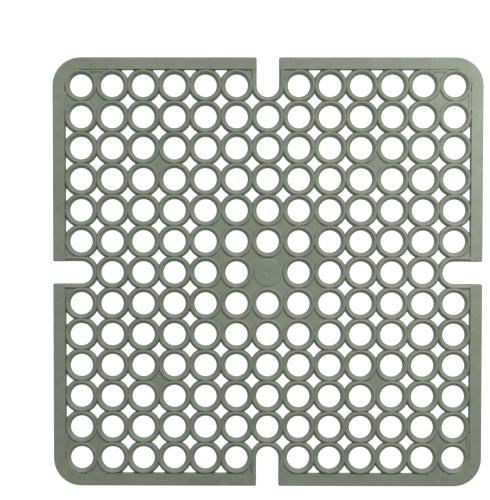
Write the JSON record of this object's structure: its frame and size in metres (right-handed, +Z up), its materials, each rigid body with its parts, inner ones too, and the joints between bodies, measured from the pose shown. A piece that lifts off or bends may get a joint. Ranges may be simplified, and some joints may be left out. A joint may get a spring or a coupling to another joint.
{
  "type": "sink mat",
  "caption": "Square soft-plastic sink mat, a flat open lattice of round rings inside a plain border band, with a rounded notch in the middle of each side.",
  "frame": {"origin": "on the underside, below the middle of the mat", "axes": "+Z up out of the top face, +X and +Y along the sides"},
  "size_m": [0.309, 0.309, 0.0045],
  "materials": {
    "soft_plastic": "matt moulded soft vinyl, sage grey-green"
  },
  "bodies": {
    "root": {"sink_mat": "soft_plastic"}
  },
  "joints": []
}
